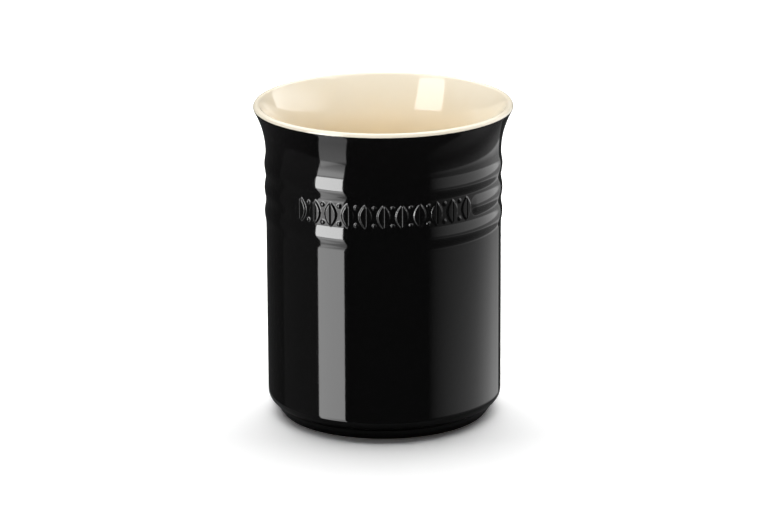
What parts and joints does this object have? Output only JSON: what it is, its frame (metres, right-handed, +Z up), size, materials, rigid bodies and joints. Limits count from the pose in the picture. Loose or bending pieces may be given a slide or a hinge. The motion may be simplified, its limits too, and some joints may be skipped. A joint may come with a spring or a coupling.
{
  "type": "utensil crock",
  "caption": "Straight round stoneware crock with a flared mouth and raised rings, for standing kitchen tools upright; dark glossy glaze outside, cream glaze inside",
  "frame": {"origin": "on the surface that the crock stands on, under the middle of its foot", "axes": "+Z up through the mouth, -Y the front, where the middle ring leaves its plain place, +X to the right of it"},
  "size_m": [0.125, 0.125, 0.1541],
  "materials": {
    "stoneware": "bare fired clay, matt and finely grained",
    "dark_glaze": "black glaze, glossy",
    "cream_glaze": "cream glaze, glossy"
  },
  "bodies": {
    "root": {"stoneware_body": "stoneware", "outer_glaze": "dark_glaze", "inner_glaze": "cream_glaze", "base_glaze": "dark_glaze"}
  },
  "joints": []
}
